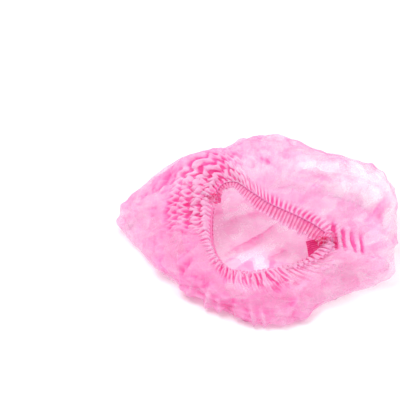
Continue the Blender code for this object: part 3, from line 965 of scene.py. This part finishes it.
def patch_pattern(bench, place):
    """Flat patches with crisp edges, from about -0.5 to 0.5, large and small ones together."""
    large, small = (
        bench.node("ShaderNodeTexVoronoi", {"feature": "F1"}, {
            "Vector": bench.bent(place, bend, PATCH_BEND), "Scale": scale,
            "Randomness": 1.0}, output=1)
        for bend, scale in PATCH_SCALES)
    return large * 0.6 + small * 0.4 - 0.5


def cloth_material(name):
    """Thin spunbond cloth: painted pale as a highlight on the ridges of its folds, and hot pink and
    closed as painted shade in their valleys; deeper pink and closed where many layers lie, with
    patches, clouded fibres, fine dimples and crease lines painted a little paler as a highlight."""
    pale, candy, hot, cover = CLOTHS[name]
    bench = Bench(name)
    flat = bench.node("ShaderNodeUVMap", {"uv_map": "cloth"}, {})
    place = bench.node("ShaderNodeTexCoord", {}, {}, output=3)
    # fold: 1 on the ridges, painted pale as a highlight, to 0 in the valleys, painted hot pink as
    # shade
    fold = bench.node("ShaderNodeAttribute", {"attribute_name": "fold"}, {}, output=2)
    layers = bench.node("ShaderNodeAttribute", {"attribute_name": "layers"}, {}, output=2)
    cloud = bench.noise(place, 160.0, 3.0, 0.6)
    speckle = bench.noise(place, 520.0, 3.0, 0.7)
    fibre = bench.noise(flat, 1500.0, 2.0, 0.7)
    body = cloud * 0.20 + speckle * 0.44 + fibre * 0.36 - 0.5
    # Crease lines along the patches' edges: bumped, and painted a little paler as a highlight
    corner = bench.node("ShaderNodeTexVoronoi", {"feature": "DISTANCE_TO_EDGE"}, {
        "Vector": bench.bent(place, 30.0, 0.006), "Scale": 62.0, "Randomness": 1.0})
    crease = bench.node("ShaderNodeMapRange", {}, {
        "Value": corner, "From Min": 0.0, "From Max": 0.055, "To Min": 1.0, "To Max": 0.0})
    patch = patch_pattern(bench, place)
    # How far the colour goes towards hot pink: painted shade in the valleys, more where layers lie,
    # the patches and clouding, less on the painted crease highlights
    valley_shade = 1.0 - fold
    pink_depth_and_shade = valley_shade * 0.72 + layers * 0.30 + patch * 0.60 + body * 0.5 - crease * 0.12 - 0.02
    tint = bench.node("ShaderNodeValToRGB", {"stops": (
        (0.14, pale), (0.60, candy), (0.92, hot))}, {"Fac": pink_depth_and_shade})
    # How closed the cloth is: more on the ridges and in the valleys than on the slopes, more again
    # in the valleys as painted shade, and more where layers, patches and clouding lie
    steep = 1.0 - fold * valley_shade * 4.0
    closed = steep * 0.30 + valley_shade * 0.12 + layers * 0.74 + patch * 0.66 + body * 0.9 + cover
    dimples = bench.node("ShaderNodeTexVoronoi", {"feature": "F1"}, {
        "Vector": flat, "Scale": 900.0, "Randomness": 0.35})
    height = fibre * 0.5 + dimples * 0.5 + speckle * 1.5 + crease * 1.6 + patch * 1.5
    bump = bench.node("ShaderNodeBump", {}, {
        "Strength": 0.35, "Distance": 0.0005, "Height": height})
    front = bench.node("ShaderNodeBsdfPrincipled", {}, {
        "Base Color": tint, "Roughness": 0.62, "Specular IOR Level": 0.35, "Normal": bump})
    # The light through the cloth goes from pale to hot pink with the same painted shade
    light = bench.node("ShaderNodeBsdfTranslucent", {}, {"Color": (*pale, 1.0)})
    deep_shade = bench.node("ShaderNodeBsdfTranslucent", {}, {"Color": (*hot, 1.0)})
    through = bench.node("ShaderNodeMixShader", {}, {0: pink_depth_and_shade, 1: light, 2: deep_shade})
    sheet = bench.node("ShaderNodeMixShader", {}, {0: 0.46, 1: front, 2: through})
    clear = bench.node("ShaderNodeBsdfTransparent", {}, {"Color": (1.0, 1.0, 1.0, 1.0)})
    both = bench.node("ShaderNodeMixShader", {}, {0: closed, 1: clear, 2: sheet})
    return bench.finish(both)


ELASTIC_COLOURS = {
    "raspberry_elastic": ((0.56, 0.06, 0.27), (0.84, 0.24, 0.52)),
    "covered_elastic": ((0.80, 0.12, 0.38), (0.94, 0.34, 0.60)),
}


def elastic_material(name):
    """Covered elastic, with dark and light specks of its thread."""
    dark, light = ELASTIC_COLOURS[name]
    bench = Bench(name)
    place = bench.node("ShaderNodeTexCoord", {}, {}, output=3)
    mottle = bench.noise(place, 900.0, 2.0, 0.6)
    tint = bench.blend(mottle, (*dark, 1.0), (*light, 1.0))
    bump = bench.node("ShaderNodeBump", {}, {
        "Strength": 0.5, "Distance": 0.0003, "Height": mottle})
    shader = bench.node("ShaderNodeBsdfPrincipled", {}, {
        "Base Color": tint, "Roughness": 0.6, "Specular IOR Level": 0.3, "Normal": bump})
    return bench.finish(shader)


def stage_material(name, shade):
    """A plain matt surface."""
    bench = Bench(name)
    return bench.finish(bench.node("ShaderNodeBsdfPrincipled", {}, {
        "Base Color": (shade, shade, shade, 1.0), "Roughness": 0.9,
        "Specular IOR Level": 0.1}))


def finish_piece(piece, material, slot, *nodes):
    """Gives a piece its material, and says which nodes of the model it is seen in place of."""
    piece.data.materials.clear()
    piece.data.materials.append(material)
    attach(piece, "root")
    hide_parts(*nodes)


TABLE_SIZE = 6.0
TABLE_SHADE = 0.94
SKY_STRENGTH = 0.74

# Name, place, size in metres and power in watts
LAMPS = (
    ("soft_lamp_left", (-0.7, 0.2, 1.8), 1.4, 19.0),
    ("soft_lamp_right", (1.0, -0.4, 1.6), 1.2, 6.5),
)


def light_stage():
    """A white table under an even white sky, with a broad soft lamp on either side."""
    bpy.ops.mesh.primitive_plane_add(size=TABLE_SIZE, location=(0.0, 0.0, 0.0))
    table = bpy.context.object
    table.name = "white_table"
    table.data.materials.append(stage_material("white_table", TABLE_SHADE))
    table.select_set(False)
    world = bpy.data.worlds.new("sky")
    world.use_nodes = True
    sky = world.node_tree.nodes["Background"]
    sky.inputs["Color"].default_value = (1.0, 1.0, 1.0, 1.0)
    sky.inputs["Strength"].default_value = SKY_STRENGTH
    bpy.context.scene.world = world
    for name, spot, size, power in LAMPS:
        lamp = bpy.data.lights.new(name, "AREA")
        lamp.shape = "DISK"
        lamp.size = size
        lamp.energy = power
        holder = bpy.data.objects.new(name, lamp)
        holder.location = spot
        holder.rotation_euler = (-Vector(spot)).to_track_quat("-Z", "Y").to_euler()
        bpy.context.scene.collection.objects.link(holder)


# Where the photograph was taken from: it looks along +Y and down, from far off
CAMERA_LOOKS_AT = (-0.071, 0.101, 0.0)
CAMERA_RISE = math.radians(42.0)
CAMERA_AWAY = 8.0
FRAME_WIDTH = 0.503
SENSOR_WIDTH = 36.0


def place_camera():
    """A long lens that takes in the same width of the table as the photograph."""
    camera = bpy.data.cameras.new("camera")
    camera.sensor_width = SENSOR_WIDTH
    camera.lens = SENSOR_WIDTH * CAMERA_AWAY / FRAME_WIDTH
    holder = bpy.data.objects.new("camera", camera)
    aim = Vector(CAMERA_LOOKS_AT)
    back = Vector((0.0, -math.cos(CAMERA_RISE), math.sin(CAMERA_RISE)))
    holder.location = aim + back * CAMERA_AWAY
    holder.rotation_euler = (-back).to_track_quat("-Z", "Y").to_euler()
    bpy.context.scene.collection.objects.link(holder)
    bpy.context.scene.camera = holder


def build_side(side, start, end, elastic, frill_cloth):
    """The elastic and the frilled margin along one long edge of the cloth."""
    band = build_elastic(side + "_elastic_band", start, end)
    finish_piece(band, elastic, "pink_elastic", side + "_elastic")
    frill = build_ruffle(side + "_frill", start, end, RUFFLE_GATHERS[side])
    finish_piece(frill, frill_cloth, "pink_cloth", side + "_ruffle")


def build_tack(side, frill_cloth, shaded_weld_cloth):
    """The frilly knot and the pressed folds at one end of the strip."""
    knot = build_knot(side + "_tack_frill", side)
    finish_piece(knot, frill_cloth, "pink_weld", side + "_tack")
    flap = build_flap(side + "_tack_folds", side)
    finish_piece(flap, shaded_weld_cloth, "pink_weld", side + "_tack")


def set_light_paths():
    """Lets light pass through many thin layers, and keeps the whites plain."""
    scene = bpy.context.scene
    scene.view_settings.view_transform = "Standard"
    scene.cycles.transparent_max_bounces = 64
    scene.cycles.max_bounces = 14
    scene.cycles.diffuse_bounces = 8
    scene.cycles.transmission_bounces = 8


def main():
    place_camera()
    light_stage()
    bag_cloth, frill_cloth, shaded_weld_cloth = map(cloth_material, CLOTHS)
    raspberry, covered = map(elastic_material, ELASTIC_COLOURS)
    crown = build_crown()
    finish_piece(crown, bag_cloth, "pink_cloth", "crown")
    build_side("back", TACK_SPAN, LEFT_TURN - TACK_SPAN, raspberry, frill_cloth)
    build_side("front", LEFT_TURN + TACK_SPAN, 1 - TACK_SPAN, covered, frill_cloth)
    for side in ("right", "left"):
        build_tack(side, frill_cloth, shaded_weld_cloth)
    set_light_paths()


main()
